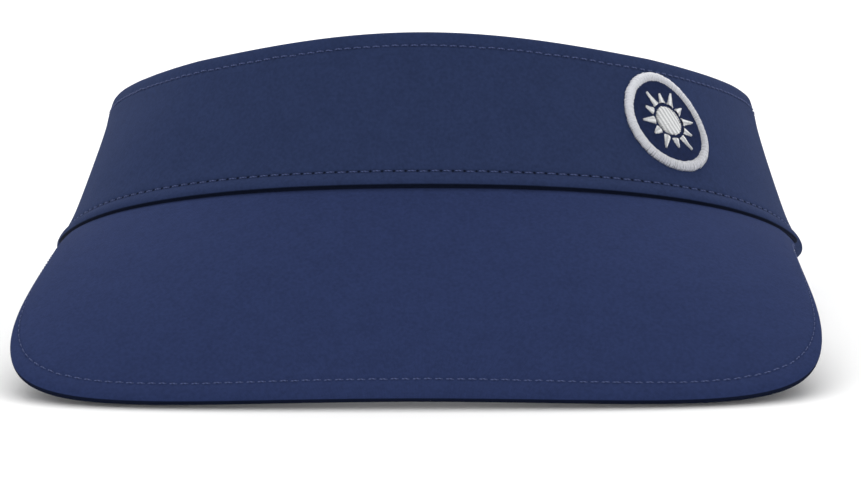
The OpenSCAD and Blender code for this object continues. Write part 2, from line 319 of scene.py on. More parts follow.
def lay_copies(name, shape, spots, place):
    """Copies of one small shape drawn on flat cloth.  A spot is x, y, z, a turn
    in degrees and a stretch along the shape; place lays the cloth in the round."""
    verts, faces = shape
    spots = np.asarray(spots, float)
    t = np.radians(spots[:, 3])[:, None]
    x, y, z = verts[:, 0] * spots[:, 4:5], verts[None, :, 1], verts[None, :, 2]
    flat = (spots[:, 0:1] + x * np.cos(t) - y * np.sin(t),
            spots[:, 1:2] + x * np.sin(t) + y * np.cos(t), spots[:, 2:3] + z)
    laid = place(*flat).reshape(-1, 3)
    many = [[k * len(verts) + q for q in f] for k in range(len(spots)) for f in faces]
    along = np.broadcast_to(verts[:, 0] * spots[:, 4:5], flat[0].shape)
    round_ = np.broadcast_to(verts[None, :, 1] * 3, flat[0].shape)
    uv = np.stack([along, round_], -1).reshape(-1, 2)
    corners = uv[[q for f in many for q in f]]
    return smooth(new_object(name, laid, many, {"thread": corners}))


def signed_volume(verts, quads):
    a, b, c, d = (verts[quads[:, k]] for k in range(4))
    return float((a * np.cross(b, c)).sum() + (a * np.cross(c, d)).sum())


def sweep(name, rings, maps):
    """A closed skin through rings of points, with its two ends filled.  A map
    has one pair of lengths for each ring point and one more to close."""
    k, m = rings.shape[:2]
    i, j = (q.ravel() for q in np.meshgrid(np.arange(k - 1), np.arange(m), indexing='ij'))
    j2 = (j + 1) % m
    quads = np.stack([i * m + j, i * m + j2, (i + 1) * m + j2, (i + 1) * m + j], 1)
    verts = rings.reshape(-1, 3)
    first, last = np.arange(m)[::-1], (k - 1) * m + np.arange(m)
    order = np.arange(4)
    if signed_volume(verts, quads) < 0:
        order, first, last = order[::-1], first[::-1], last[::-1]
    faces = quads[:, order].tolist() + [first.tolist(), last.tolist()]
    flats = {}
    for label, g in maps.items():
        g = np.stack(np.broadcast_arrays(*g), -1)
        sides = np.stack([g[i, j], g[i, j + 1], g[i + 1, j + 1], g[i + 1, j]], 1)[:, order]
        ends = [g[q // m, q % m] for q in (*first, *last)]
        flats[label] = np.concatenate([sides.reshape(-1, 2), np.array(ends)])
    return smooth(new_object(name, verts, faces, flats))


def girth(rings):
    """Length gone round each ring at each of its points, and once more to close."""
    legs = np.linalg.norm(np.roll(rings, -1, 1) - rings, axis=-1)
    return np.concatenate([np.zeros((len(rings), 1)), np.cumsum(legs, 1)], 1)


def closed(a):
    return np.concatenate([a, a[:, :1]], 1)


def soft_loop(keys, step, span=1.0):
    """A closed smooth loop through keys.  A third column is a share of span that
    is added to the second."""
    keys = np.asarray(keys, float)
    flat = keys[:, :2].copy()
    if keys.shape[1] > 2:
        flat[:, 1] += span * keys[:, 2]
    m, out = len(keys), []
    gap = np.linalg.norm(np.roll(flat, -1, 0) - flat, axis=1)
    for i in range(m):
        p = [keys[(i + q) % m] for q in (-1, 0, 1, 2)]
        t = [max(0.05, gap[(i + q) % m]) ** 0.5 for q in (-1, 0, 1)]
        m1 = t[1] * ((p[1] - p[0]) / t[0] - (p[2] - p[0]) / (t[0] + t[1])) + p[2] - p[1]
        m2 = t[1] * ((p[3] - p[2]) / t[2] - (p[3] - p[1]) / (t[1] + t[2])) + p[2] - p[1]
        k = max(2, int(math.ceil(gap[i] / step)))
        for f in np.arange(k) / k:
            out.append((2 * f ** 3 - 3 * f * f + 1) * p[1] + (f ** 3 - 2 * f * f + f) * m1
                       + (-2 * f ** 3 + 3 * f * f) * p[2] + (f ** 3 - f * f) * m2)
    return np.array(out)


def swell(a, b, seed, size=1.0):
    """Slow uneven waves over a surface, within about one either way."""
    rng = np.random.default_rng(seed)
    out = 0.0
    for _ in range(7):
        fa, fb = rng.uniform(0.03, 0.17, 2) / size
        out = out + np.sin(a * fa + b * fb * rng.choice([-1, 1]) + rng.uniform(0, 6.28))
    return out / 7


def fade(x, low, high):
    t = np.clip((x - low) / (high - low), 0.0, 1.0)
    return t * t * (3 - 2 * t)


def drawn_in(s, off, pitch, reach):
    """How far stitches draw the cloth in beside their row, most at the holes."""
    return np.exp(-(off / reach) ** 2) * (0.6 + 0.4 * np.cos(2 * math.pi * s / pitch))


# ------------------------------------------------------------ shader writing
class Wire:
    """A socket with arithmetic."""

    def __init__(self, graph, socket):
        self.graph, self.socket = graph, socket

    def math(self, op, a, b=0.0):
        return self.graph.node("ShaderNodeMath", 0, {"operation": op}, i0=a, i1=b)

    def __add__(self, o):
        return self.math("ADD", self, o)

    def __sub__(self, o):
        return self.math("SUBTRACT", self, o)

    def __rsub__(self, o):
        return self.math("SUBTRACT", o, self)

    def __mul__(self, o):
        return self.math("MULTIPLY", self, o)

    def __truediv__(self, o):
        return self.math("DIVIDE", self, o)

    def sin(self):
        return self.math("SINE", self)

    def abs(self):
        return self.math("ABSOLUTE", self)

    def fract(self):
        return self.math("FRACT", self)

    def root(self):
        return self.math("SQRT", self)

    def above(self, o):
        return self.math("GREATER_THAN", self, o)

    def max(self, o):
        return self.math("MAXIMUM", self, o)

    def band(self, low, high, a=0.0, b=1.0):
        return self.graph.node("ShaderNodeMapRange", 0, {"interpolation_type": 'SMOOTHSTEP'},
                               Value=self, From_Min=low, From_Max=high, To_Min=a, To_Max=b)


class Graph:
    """The nodes of one material."""

    def __init__(self, name):
        self.mat = bpy.data.materials.new(name)
        self.mat.use_nodes = True
        self.tree = self.mat.node_tree
        self.tree.nodes.clear()

    def node(self, kind, out=0, settings=None, **sockets):
        made = self.tree.nodes.new(kind)
        for key, value in (settings or {}).items():
            setattr(made, key, value)
        for key, value in sockets.items():
            spot = made.inputs[int(key[1:]) if key[1:].isdigit() else key.replace("_", " ")]
            if isinstance(value, Wire):
                self.tree.links.new(value.socket, spot)
            else:
                spot.default_value = value
        return Wire(self, made.outputs[out])

    def lengths(self, label):
        """The two lengths that a UV layer holds, in millimetres."""
        uv = self.node("ShaderNodeUVMap", 0, {"uv_map": label})
        parts = [self.node("ShaderNodeSeparateXYZ", k, None, i0=uv) for k in (0, 1)]
        return [p / MM for p in parts]

    def here(self):
        """A point of the piece, in its own coordinates."""
        return self.node("ShaderNodeTexCoord", 3)

    def noise(self, scale, detail=2.0):
        return self.node("ShaderNodeTexNoise", 0, None, Vector=self.here(), Scale=scale,
                         Detail=detail)

    def mix(self, share, one, two):
        ends = [c if isinstance(c, Wire) else (*c, 1.0) for c in (one, two)]
        return self.node("ShaderNodeMix", 2, {"data_type": 'RGBA'}, i0=share,
                         i6=ends[0], i7=ends[1])

    def finish(self, color, rough, height, depth, specular, sheen=0.0, tint=(1.0, 1.0, 1.0)):
        bump = self.node("ShaderNodeBump", 0, None, Distance=depth * MM, Height=height)
        skin = self.node("ShaderNodeBsdfPrincipled", 0, None, Base_Color=color, Roughness=rough,
                         Normal=bump, Specular_IOR_Level=specular, Sheen_Weight=sheen,
                         Sheen_Roughness=0.5, Sheen_Tint=(*tint, 1.0))
        end = self.tree.nodes.new("ShaderNodeOutputMaterial")
        self.tree.links.new(skin.socket, end.inputs["Surface"])
        return self.mat


def plain_weave(a, b, pitch):
    """Height of a plain weave: each thread passes over one and under the next."""
    p, q = (a * (math.pi / pitch)).sin(), (b * (math.pi / pitch)).sin()
    over = (p * q).above(0.0)
    return p.abs() * over + q.abs() * (1.0 - over)


def twill_weave(a, b, pitch):
    """Height of a twill, with its slanting ribs."""
    rib = ((a + b) * (math.pi / (2 * pitch))).sin().abs()
    return rib * 0.7 + (a * (math.pi / pitch)).sin().abs() * 0.3


def scaled(base, by):
    return tuple(min(1.0, c * by) for c in base)


def woven_cloth(name, base, pitch=0.36, depth=0.03, rows=(), shade_bands=(), rough=0.9, vary=0.12,
                weave=plain_weave, tint=(0.3, 0.42, 1.0)):
    """Woven cloth.  A row is a UV layer, an offset, a pitch and how dark the
    painted shade in the needle's holes and the crease between them is.  A shade
    band is a UV layer, the offsets where the cloth starts and ends to darken with
    painted shade, and how far it does."""
    g = Graph(name)
    a, b = g.lengths("weave")
    threads = weave(a, b, pitch)
    slub, broad, fine = g.noise(170.0, 3.0), g.noise(24.0, 3.0), g.noise(1100.0)
    tone = ((slub - 0.5) * 0.45 + (broad - 0.5) * 0.12 + (fine - 0.5) * 1.1
            + (threads - 0.6) * 0.7 + 0.5)
    color = g.mix(tone.band(0.0, 1.0), scaled(base, 1 - 1.6 * vary), scaled(base, 1 + 1.6 * vary))
    height = threads * 0.7 + slub * 0.5 + fine * 0.3
    for label, offset, spacing, dark in rows:
        s, w = g.lengths(label)
        ds, dw = ((s / spacing + 0.5).fract() - 0.5) * spacing, w - offset
        # Painted shade: the needle's holes and the crease along the row are darkened towards a dark
        # copy of the cloth; the holes also sink the bump.
        hole = (ds * ds + dw * dw).root().band(0.2, 0.5, dark, 0.0)
        crease = dw.abs().band(0.15, 0.8, 0.3 * dark, 0.0)
        color = g.mix(hole.max(crease), color, scaled(base, 0.2))
        height = height - hole * 5.0
    # Painted shade: each band darkens the cloth almost to black across its span of offsets.
    for label, start, end, dark in shade_bands:
        ends = (0.0, dark) if start < end else (dark, 0.0)
        into = g.lengths(label)[1].band(min(start, end), max(start, end), *ends)
        color = g.mix(into, color, scaled(base, 0.02))
    return g.finish(color, (broad - 0.5) * 0.1 + rough, height, depth, 0.04, 0.015, tint)


def sewing_thread(name, base, sheen=0.02, twist=7.0, rough=0.7, shine=0.12):
    """Twisted thread: its plies slant round it."""
    g = Graph(name)
    a, b = g.lengths("thread")
    ply = (a * twist + b * 3.0).sin() * 0.5 + 0.5
    fuzz = g.noise(2600.0)
    color = g.mix((ply * 0.65 + fuzz * 0.35).band(0.0, 1.0), scaled(base, 0.5), scaled(base, 1.15))
    return g.finish(color, (fuzz - 0.5) * 0.2 + rough, ply * 0.6 + fuzz * 0.5, 0.06, shine, sheen)


def terry_cloth(name, base):
    """Looped towelling."""
    g = Graph(name)
    loops = g.node("ShaderNodeTexVoronoi", 0, None, Vector=g.here(), Scale=1500.0)
    fuzz, broad = g.noise(3200.0), g.noise(60.0, 3.0)
    color = g.mix((loops * 1.1 + (broad - 0.5) * 0.4).band(0.1, 1.1), scaled(base, 1.06),
                  scaled(base, 0.66))
    return g.finish(color, (fuzz - 0.5) * 0.1 + 0.93, 1.0 - loops + fuzz * 0.4, 0.28, 0.1, 0.3)


def pile(name, base, rough=0.7, specular=0.3):
    """Dense short pile, for the two halves of the fastener."""
    g = Graph(name)
    fuzz, broad = g.noise(2400.0, 3.0), g.noise(90.0)
    color = g.mix((fuzz * 0.7 + broad * 0.3).band(0.3, 0.75), scaled(base, 0.6),
                  scaled(base, 1.35))
    return g.finish(color, (broad - 0.5) * 0.2 + rough, fuzz, 0.2, specular, 0.15)


def moulded_board(name, base, rough=0.5):
    """Plastic sheet, felt or foam with a faint grain."""
    g = Graph(name)
    grain, broad = g.noise(700.0, 3.0), g.noise(40.0)
    color = g.mix((grain * 0.4 + broad * 0.6).band(0.3, 0.7), scaled(base, 0.93),
                  scaled(base, 1.04))
    return g.finish(color, (grain - 0.5) * 0.2 + rough, grain, 0.04, 0.4)


NAVY = (0.0235, 0.0365, 0.094)
BRIM_NAVY = (0.0228, 0.0352, 0.100)
NAVY_THREAD = (0.072, 0.096, 0.22)
WHITE_THREAD = (0.80, 0.81, 0.86)
CROWN_PITCH, STRAP_PITCH, SWEAT_PITCH = 3.05, 2.8, 3.4
TOP_ROW, BASE_ROW, SWEAT_ROW, STRAP_ROW = -4.2, 4.4, 4.5, 1.9

# Painted shade: the band darkens the crevice under the rolled base nearly to black, and the rows
# darken the needle holes and the crease along the stitching.
crown_navy = woven_cloth("crown navy", NAVY, shade_bands=(("base", 0.6, 0.2, 0.85),),
                         rows=(("top", TOP_ROW, CROWN_PITCH, 0.3),
                               ("base", BASE_ROW, CROWN_PITCH, 0.98)))
# Painted shade: one band darkens the cloth where it runs in under the crown's roll, the other
# darkens the rim's lowest edge, and the row darkens the needle holes.
brim_navy = woven_cloth("brim navy", BRIM_NAVY,
                        shade_bands=(("edge", 58.5, 59.0, 0.88), ("edge", 0.28, 0.12, 0.8)),
                        rows=(("edge", BRIM_ROW, BRIM_PITCH, 0.12),))
# Painted shade: the under cloth is the navy darkened to near black, partly a dark under brim and
# partly shade on the brim's under edge; its row darkens the needle holes.
shaded_under_navy = woven_cloth("under brim navy shaded", scaled(NAVY, 0.28),
                         rows=(("edge", BRIM_ROW, BRIM_PITCH, 0.12),))
# Painted shade: the rows darken the needle holes and the crease along the strap's stitching.
strap_navy = woven_cloth("strap navy", NAVY, rows=(("strap", STRAP_ROW, STRAP_PITCH, 0.6),))
lining_navy = woven_cloth("lining twill", scaled(NAVY, 0.85), pitch=0.5, weave=twill_weave)
binding_white = woven_cloth("binding tape", (0.62, 0.63, 0.66), pitch=0.6, vary=0.05,
                            weave=twill_weave, tint=(1.0, 1.0, 1.0))
label_white = woven_cloth("label satin", (0.74, 0.74, 0.73), pitch=0.28, vary=0.04, rough=0.45,
                          tint=(1.0, 1.0, 1.0))
patch_navy = woven_cloth("patch twill", (0.0135, 0.021, 0.060), pitch=0.42, depth=0.06,
                         weave=twill_weave, vary=0.2)
navy_thread = sewing_thread("navy thread", NAVY_THREAD)
white_thread = sewing_thread("white thread", (0.86, 0.87, 0.90), 0.1, 5.0, 0.6, 0.3)
border_thread = sewing_thread("border thread", WHITE_THREAD, 0.1, 0.6, 0.7, 0.25)
towelling = terry_cloth("towelling", (0.66, 0.67, 0.70))
hook_plastic = moulded_board("hook plastic", (0.016, 0.020, 0.040), 0.35)
hook_ground = pile("hook ground", (0.012, 0.015, 0.030), 0.5)
loop_pile = pile("loop pile", (0.016, 0.022, 0.050), 0.9, 0.1)
board_white = moulded_board("brim board", (0.78, 0.78, 0.75))
stiff_white = moulded_board("stiffener", (0.70, 0.70, 0.67), 0.65)
foam_cream = moulded_board("foam", (0.80, 0.78, 0.70), 0.95)


# ------------------------------------------------------------------ finishing
def fit(obj, body, slot, material, *nodes):
    """Gives a piece its material, parents it to its body when that is one name (a bend's piece is
    only baked where it lies), and hides the nodes it stands for.
    """
    obj.data.materials.clear()
    obj.data.materials.append(material)
    if isinstance(body, str):
        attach(obj, body)
    else:
        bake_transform(obj)
    if nodes:
        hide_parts(*nodes)
    return obj


def refinish(name, material):
    """A node whose own shape is right keeps it, with a better finish."""
    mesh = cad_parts[name].data
    mesh.materials.clear()
    mesh.materials.append(material)


def turned_over(shape):
    """A small shape for the other face of the cloth."""
    return shape[0] * (1, -1, -1), shape[1]


stitch = model_wire(low_arch(2.35, 0.20, 0.30), 0.42)
fine_stitch = model_wire(low_arch(2.15, 0.16, 0.30), 0.38)


def stitch_row(name, place, lengths, pitch, across, out, shape, spread=0.05, seed=1):
    """Stitches one pitch apart along a row, between the needle's holes."""
    rng = np.random.default_rng(seed)
    first, last = (math.ceil(lengths[0] / pitch), math.floor(lengths[1] / pitch))
    s = (np.arange(first, last) + 0.5) * pitch
    k = len(s)
    spots = np.stack([s, np.full(k, across) if np.isscalar(across) else across(s),
                      np.full(k, out), rng.normal(0, 1.6, k), rng.normal(1.0, 0.02, k)], 1)
    spots[:, 1] += rng.normal(0, spread, k)
    return lay_copies(name, shape, spots, place)


# ------------------------------------------------------------ the crown cloth
CROWN_END = run_of(REAR_A - 0.3)
MEAN_H = 42.0
# The section: out of the cloth, up from the lower edge, share of the height added to that.
CROWN_CUT = [
    (-0.45, 0.5, 0), (-0.3, -0.3, 0), (0.3, -0.75, 0), (0.9, -0.7, 0), (1.05, -0.3, 0),
    (1.2, 0.0, 0), (1.55, 0.3, 0), (1.8, 1.1, 0), (1.62, 2.4, 0), (1.1, 3.5, 0),
    (0.8, 4.4, 0), (0.78, 5.4, 0), (0.6, 7.2, 0), (0.42, 10, 0), (0.4, 0, 0.5),
    (0.42, -9, 1), (0.58, -5.6, 1), (0.52, -4.6, 1), (0.46, -3.5, 1), (0.56, -2.2, 1),
    (0.5, -1.4, 1), (0.4, -0.7, 1), (-0.2, -0.1, 1), (-0.95, 0.05, 1), (-1.8, -0.4, 1),
    (-2.3, -1.4, 1), (-2.35, -2.8, 1), (-2.4, -5, 1), (-2.35, -7.9, 1),
    (-2.05, -8.2, 1), (-1.75, -7.9, 1), (-1.75, -5, 1), (-1.7, -2.4, 1), (-1.2, -1.7, 1),
    (-0.5, -2.4, 1), (-0.4, 0, 0.5), (-0.42, 4, 0)]


def make_crown_cloth():
    """Outer cloth: rolled over the brim seam, hemmed along the top, closed at its ends."""
    cut = soft_loop(CROWN_CUT, 1.5, MEAN_H)
    s = np.linspace(-CROWN_END, CROWN_END, 661)[:, None]
    h = crown_height(direction_at(s))
    n, w = np.broadcast_to(cut[:, 0], (len(s), len(cut))).copy(), cut[:, 1] + cut[:, 2] * h
    past_brim = fade(np.abs(s), run_of(BRIM_A) - 6, run_of(BRIM_A) + 2)
    w += np.maximum(0.0, 0.85 - w) * past_brim
    flat = fade(np.abs(s), CROWN_END - 22, CROWN_END - 8)
    lined = (n > -1.95) & (n < -0.3) & (w < h - 1.2)
    shut = fade(np.abs(s), CROWN_END - 1.6, CROWN_END - 0.9)
    n += (-2.3 - n) * lined * shut
    low = (n > 0.4) & (w < 8.0)
    n[low] += ((0.4 - n) * flat)[low]
    outer, hem = fade(n, -0.3, 0.35), fade(-n, 2.1, 2.3)
    top = drawn_in(s, w - h - TOP_ROW, CROWN_PITCH, 0.85)
    base = drawn_in(s, w - BASE_ROW, CROWN_PITCH, 0.8)
    calm = fade(w, 5, 14) * fade(h - w, 4, 12)
    n += outer * (-0.20 * top - 0.26 * base * (1 - flat) + 0.13 * calm * swell(s, w, 5, 1.3)
                  + 0.05 * swell(s, 3 * w, 8, 0.35) * (1 - calm))
    n += 0.14 * hem * top
    rings = on_crown(s, w, n)
    run, along = girth(rings), np.broadcast_to(s, (len(s), len(cut) + 1))
    return sweep("crown_cloth", rings, {
        "weave": (along, run), "top": (along, closed(w - h)), "base": (along, closed(w))})


crown_cloth = fit(make_crown_cloth(), CROWN, "navy_cloth", crown_navy, "crown_shell")


def up_to(drop):
    return lambda s: crown_height(direction_at(s)) + drop


fit(stitch_row("crown_top_row", on_crown, (2 - CROWN_END, CROWN_END - 2), CROWN_PITCH,
               up_to(TOP_ROW), 0.42, stitch, 0.06, 11),
    CROWN, "navy_thread", navy_thread, "crown_top_stitching")
fit(stitch_row("crown_top_row_inside", on_crown, (2 - CROWN_END, CROWN_END - 2), CROWN_PITCH,
               up_to(TOP_ROW), -2.36, turned_over(stitch), 0.06, 12),
    CROWN, "navy_thread", navy_thread)
fit(stitch_row("crown_base_row", on_crown, (9 - CROWN_END, CROWN_END - 9), CROWN_PITCH,
               BASE_ROW, 0.62, fine_stitch, 0.05, 13),
    CROWN, "navy_thread", navy_thread, "crown_base_stitching")


def flat_strip(name, end, stations, cut, step, wave=0.0):
    """A strip that lies in the crown from end to end, with a soft-edged section."""
    loop = soft_loop(cut, step, MEAN_H)
    s = np.linspace(-end, end, stations)[:, None]
    w = loop[:, 1] + loop[:, 2] * crown_height(direction_at(s))
    rings = on_crown(s, w, loop[:, 0] + wave * swell(s, w, 3))
    along = np.broadcast_to(s, (len(s), len(loop) + 1))
    return sweep(name, rings, {"weave": (along, girth(rings))})


LINING_END = run_of(REAR_A - 1.5)
lining = fit(flat_strip("crown_lining_cloth", LINING_END, 300, [
    (-1.75, 0.7, 0), (-1.72, 0, 0.4), (-1.75, -8.5, 1), (-2.0, -8.3, 1), (-2.25, -8.5, 1),
    (-2.28, 0, 0.4), (-2.25, 0.7, 0), (-2.0, 0.6, 0)], 2.5), CROWN, "lining", lining_navy,
    "crown_lining")

fit(flat_strip("seam_binding", run_of(REAR_A - 4), 420, [
    (-0.6, -0.1, 0), (-0.7, 0.35, 0), (-2.6, 0.5, 0), (-5.1, 0.4, 0), (-5.5, 0.05, 0),
    (-5.1, -0.3, 0), (-2.6, -0.25, 0), (-0.8, -0.3, 0)], 0.7, wave=0.08), CROWN, "binding",
    binding_white, "seam_tape")


# -------------------------------------------------------------- the sweatband
SWEAT_END = run_of(REAR_A - 4)
PUFF_FRAMES = 20
SWEAT_CUT = [(-2.62, 1.6), (-2.62, 8), (-2.62, 14), (-2.62, 20), (-2.65, 25.6), (-3.1, 26.9),
             (-4.1, 27.3), (-5.1, 26.8), (-5.5, 25.4), (-5.55, 20), (-5.55, 14), (-5.5, 8.5),
             (-5.35, 6), (-5.0, 4.5), (-5.3, 3.0), (-5.1, 1.5), (-4.4, 0.75), (-3.3, 0.75)]


def make_sweatband():
    """A towelling sleeve round a soft pad, sewn down along its lower edge."""
    loop = soft_loop(SWEAT_CUT, 1.5)
    s = np.linspace(-SWEAT_END, SWEAT_END, 281)[:, None]
    w, n = (np.broadcast_to(loop[:, k], (len(s), len(loop))).copy() for k in (1, 0))
    sewn = np.exp(-((w - SWEAT_ROW) / 1.1) ** 2) * (n < -4.5)
    n += 0.2 * sewn * np.cos(2 * math.pi * s / SWEAT_PITCH)
    rings = on_crown(s, w, n)
    along = np.broadcast_to(s, (len(s), len(loop) + 1))
    band = sweep("sweatband_terry", rings, {"weave": (along, girth(rings))})
    held = (n > -4.3) | (np.abs(w - SWEAT_ROW) < 1.3) | (w < 2.0)
    held[:3] = held[-3:] = True
    return band, held.ravel()


def puff(obj, held, most):
    """Swells a sewn sleeve with pressure, as its padding does, by at most so far."""
    rest = points_of(obj.data)
    pins = obj.vertex_groups.new(name="sewn")
    pins.add(np.flatnonzero(held).tolist(), 1.0, 'REPLACE')
    cloth = obj.modifiers.new("padding", 'CLOTH')
    cloth.settings.use_pressure = True
    cloth.settings.uniform_pressure_force = 4.0
    cloth.settings.effector_weights.gravity = 0.0
    cloth.settings.vertex_group_mass = "sewn"
    scene = bpy.context.scene
    cloth.point_cache.frame_start, cloth.point_cache.frame_end = 1, PUFF_FRAMES
    for f in range(1, PUFF_FRAMES + 1):
        scene.frame_set(f)
    seen = obj.evaluated_get(bpy.context.evaluated_depsgraph_get()).to_mesh()
    moved = points_of(seen)
    obj.modifiers.remove(cloth)
    scene.frame_set(1)
    step = moved - rest
    far = np.linalg.norm(step, axis=1, keepdims=True)
    step *= np.minimum(1.0, most * MM / np.maximum(far, 1e-9))
    move_points(obj.data, rest + step)
    obj.vertex_groups.remove(pins)


def finer(obj):
    choose(obj)
    more = obj.modifiers.new("finer", 'SUBSURF')
    more.levels = more.render_levels = 1
    bpy.ops.object.modifier_apply(modifier="finer")


def roughen(obj, amount, seed):
    """Small uneven loops all over a towelling surface."""
    rng = np.random.default_rng(seed)
    at, out = points_of(obj.data), np.array([v.normal for v in obj.data.vertices])
    move_points(obj.data, at + out * (rng.uniform(-1, 1, len(at)) * amount * MM)[:, None])


sweatband, sewn_points = make_sweatband()
puff(sweatband, sewn_points, 0.7)
finer(sweatband)
roughen(sweatband, 0.09, 21)
fit(sweatband, CROWN, "terry", towelling, "sweatband")
fit(stitch_row("sweatband_row", on_crown, (3 - SWEAT_END, SWEAT_END - 3), SWEAT_PITCH,
               SWEAT_ROW, -5.35, model_wire(low_arch(2.6, -0.2, -0.25), 0.4), 0.05, 14),
    CROWN, "white_thread", white_thread, "sweatband_stitching")


def make_care_label():
    """A small blank woven label, folded double and caught in the band's seam."""
    cut = soft_loop([(-6.25, 7.0), (-6.35, 15), (-6.55, 23.6), (-6.75, 24.0), (-6.95, 23.6),
                     (-6.8, 15), (-6.6, 7.0), (-6.42, 6.8)], 1.0)
    s = np.linspace(run_of(96.0), run_of(107.0), 40)[:, None]
    curl = ((s - s.mean()) / (s[-1] - s.mean())) ** 2
    n = cut[:, 0] - 0.25 * curl * (cut[:, 1] / 24)
    rings = on_crown(s, np.broadcast_to(cut[:, 1], n.shape), n)
    along = np.broadcast_to(s, (len(s), len(cut) + 1))
    return sweep("care_label_cloth", rings, {"weave": (along, girth(rings))})


label = fit(make_care_label(), CROWN, "label", label_white, "care_label")


# ------------------------------------------------------------------- the brim
def make_brim_cloth(name, side, seed):
    """The brim's cloth on one side of its board, turned in round the rim."""
    s = np.linspace(BRIM_RUN[0], BRIM_RUN[-1], 641)
    u = np.interp(s, BRIM_RUN, BRIM_U)[:, None]
    wide, k = brim_width(u), hem_scale(u)
    flat_v = np.linspace(0.0, 1.0, 27)[:-1]
    d_hem = np.concatenate([np.arange(HEM, 7.4, -0.8), np.arange(7.2, 3.4, -0.4),
                            np.arange(3.4, 1.6, -0.45), [1.5, 1.1, 0.75, 0.45, 0.2, 0.05]])
    inside = [(0.0, 0.08), (0.5, 0.08), (1.0, 0.55), (1.3, 0.9)]
    part = np.concatenate([flat_v, np.ones(len(d_hem) + len(inside)), [0.66, 0.33, 0.0]])
    d = np.concatenate([np.zeros(len(flat_v)), d_hem, [q[0] for q in inside], [0, 0, 0]])
    rim = np.sqrt(np.maximum(0.0, 1 - (np.maximum(0.0, 1.7 - d_hem) / 1.7) ** 2))
    n = np.concatenate([np.full(len(flat_v), 1.5), 0.12 + 1.42 * rim, [q[1] for q in inside],
                        [0.9, 0.9, 0.9]])
    count = len(flat_v) + len(d_hem)
    v = np.where(part >= 1.0, 1.0, part * (1 - HEM * k / wide))
    d_here = d * k
    off = np.broadcast_to(np.where(part >= 1.0, d, HEM + (1 - part) * 50), (len(s), len(part)))
    n = np.broadcast_to(n, (len(s), len(part))).copy()
    row = drawn_in(s[:, None], off - BRIM_ROW, BRIM_PITCH, 0.75)
    welt = np.exp(-((off - 3.0) / 1.1) ** 2)
    free = fade(off, 6, 16) * fade(part, 0.0, 0.25)
    n[:, :count] += (-0.20 * row + 0.10 * welt
                     + 0.16 * free * swell(s[:, None], v * wide, seed, 1.5))[:, :count]
    rings = brim_at(u, v, d_here, side * n * thin(u))
    along = np.broadcast_to(s[:, None], (len(s), len(part) + 1))
    return sweep(name, rings, {"weave": (along, girth(rings)), "edge": (along, closed(off))})


for name, side, stuff, node in (("brim_top_cloth", 1.0, brim_navy, "brim_top_cover"),
                                ("brim_under_cloth", -1.0, shaded_under_navy, "brim_under_cover")):
    cloth = fit(make_brim_cloth(name, side, 31 + int(side)), CROWN, "navy_cloth", stuff, node)
BRIM_ENDS = (BRIM_RUN[0] + 3, BRIM_RUN[-1] - 3)
fit(stitch_row("brim_edge_row", on_brim, BRIM_ENDS, BRIM_PITCH, BRIM_ROW, 1.40, fine_stitch,
               0.05, 15), CROWN, "navy_thread", navy_thread, "brim_edge_stitching")
fit(stitch_row("brim_edge_row_under", on_brim, BRIM_ENDS, BRIM_PITCH, BRIM_ROW, -1.40,
               turned_over(fine_stitch), 0.05, 16), CROWN, "navy_thread", navy_thread)


# ------------------------------------------------------------------ the patch
RIM_R = PATCH_R - 1.2


def lay_patch(obj):
    """Lays a piece drawn flat about the patch's middle on the crown."""
    at = points_of(obj.data) / MM
    uv = obj.data.uv_layers.new(name="weave")
    flat = [at[i.vertex_index, :2] * MM for i in obj.data.loops]
    uv.data.foreach_set("uv", np.array(flat, np.float32).ravel())
    move_points(obj.data, on_patch(at[:, 0], at[:, 1], at[:, 2]) * MM)
    return smooth(obj, 50)


def make_patch_ground():
    """A round of twill, inset in rings and given its thickness."""
    start_clean()
    bpy.ops.mesh.primitive_circle_add(vertices=96, radius=(RIM_R + 0.2) * MM, fill_type='NGON',
                                      location=(0, 0, 1.05 * MM))
    obj = bpy.context.object
    obj.name = "patch_ground"
    edit_all()
    for _ in range(9):
        bpy.ops.mesh.inset(thickness=RIM_R / 10.5 * MM)
    bpy.ops.mesh.select_all(action='SELECT')
    bpy.ops.mesh.extrude_region_move(TRANSFORM_OT_translate={"value": (0, 0, -0.6 * MM)})
    close_edit()
    return lay_patch(obj)


def make_border_core():
    """The rounded ring of padding that the border's thread is wound over."""
    start_clean()
    bpy.ops.mesh.primitive_torus_add(major_radius=RIM_R * MM, minor_radius=0.95 * MM,
                                     major_segments=120, minor_segments=14)
    obj = bpy.context.object
    obj.name = "patch_border_core"
    edit_all()
    bpy.ops.transform.resize(value=(1, 1, 0.62))
    bpy.ops.transform.translate(value=(0, 0, 1.12 * MM))
    bpy.ops.object.mode_set(mode='OBJECT')
    return lay_patch(obj)


def wound_border():
    """Border thread wound slantwise over the patch's edge, close together."""
    rng = np.random.default_rng(41)
    count = 236
    t = (np.arange(count) + rng.uniform(-0.15, 0.15, count)) * (2 * math.pi / count)
    r = RIM_R + rng.normal(0, 0.03, count)
    wrap = model_wire([(-1.22, 0.45), (-1.1, 0.95), (-0.65, 1.55), (0.0, 1.80), (0.65, 1.55),
                       (1.1, 0.95), (1.24, 0.4)], 0.44)
    spots = np.stack([r * np.cos(t), r * np.sin(t), rng.normal(0, 0.04, count),
                      np.degrees(t) + 9 + rng.normal(0, 2.5, count),
                      rng.normal(1.0, 0.055, count)], 1)
    return lay_copies("patch_border_thread", wrap, spots, on_patch)


def satin(x, y, turn, length, width, spacing, rng):
    """Spots of close parallel threads that fill a shape: length by place across it."""
    c, s = math.cos(math.radians(turn)), math.sin(math.radians(turn))
    out = []
    for a in np.arange(-width / 2 + spacing / 2, width / 2, spacing):
        long = length(a)
        if long > 0.25:
            out.append((x - s * a, y + c * a, 1.12 + rng.normal(0, 0.02),
                        turn + rng.normal(0, 0.8), (long + rng.normal(0, 0.08)) / 2.0))
    return out


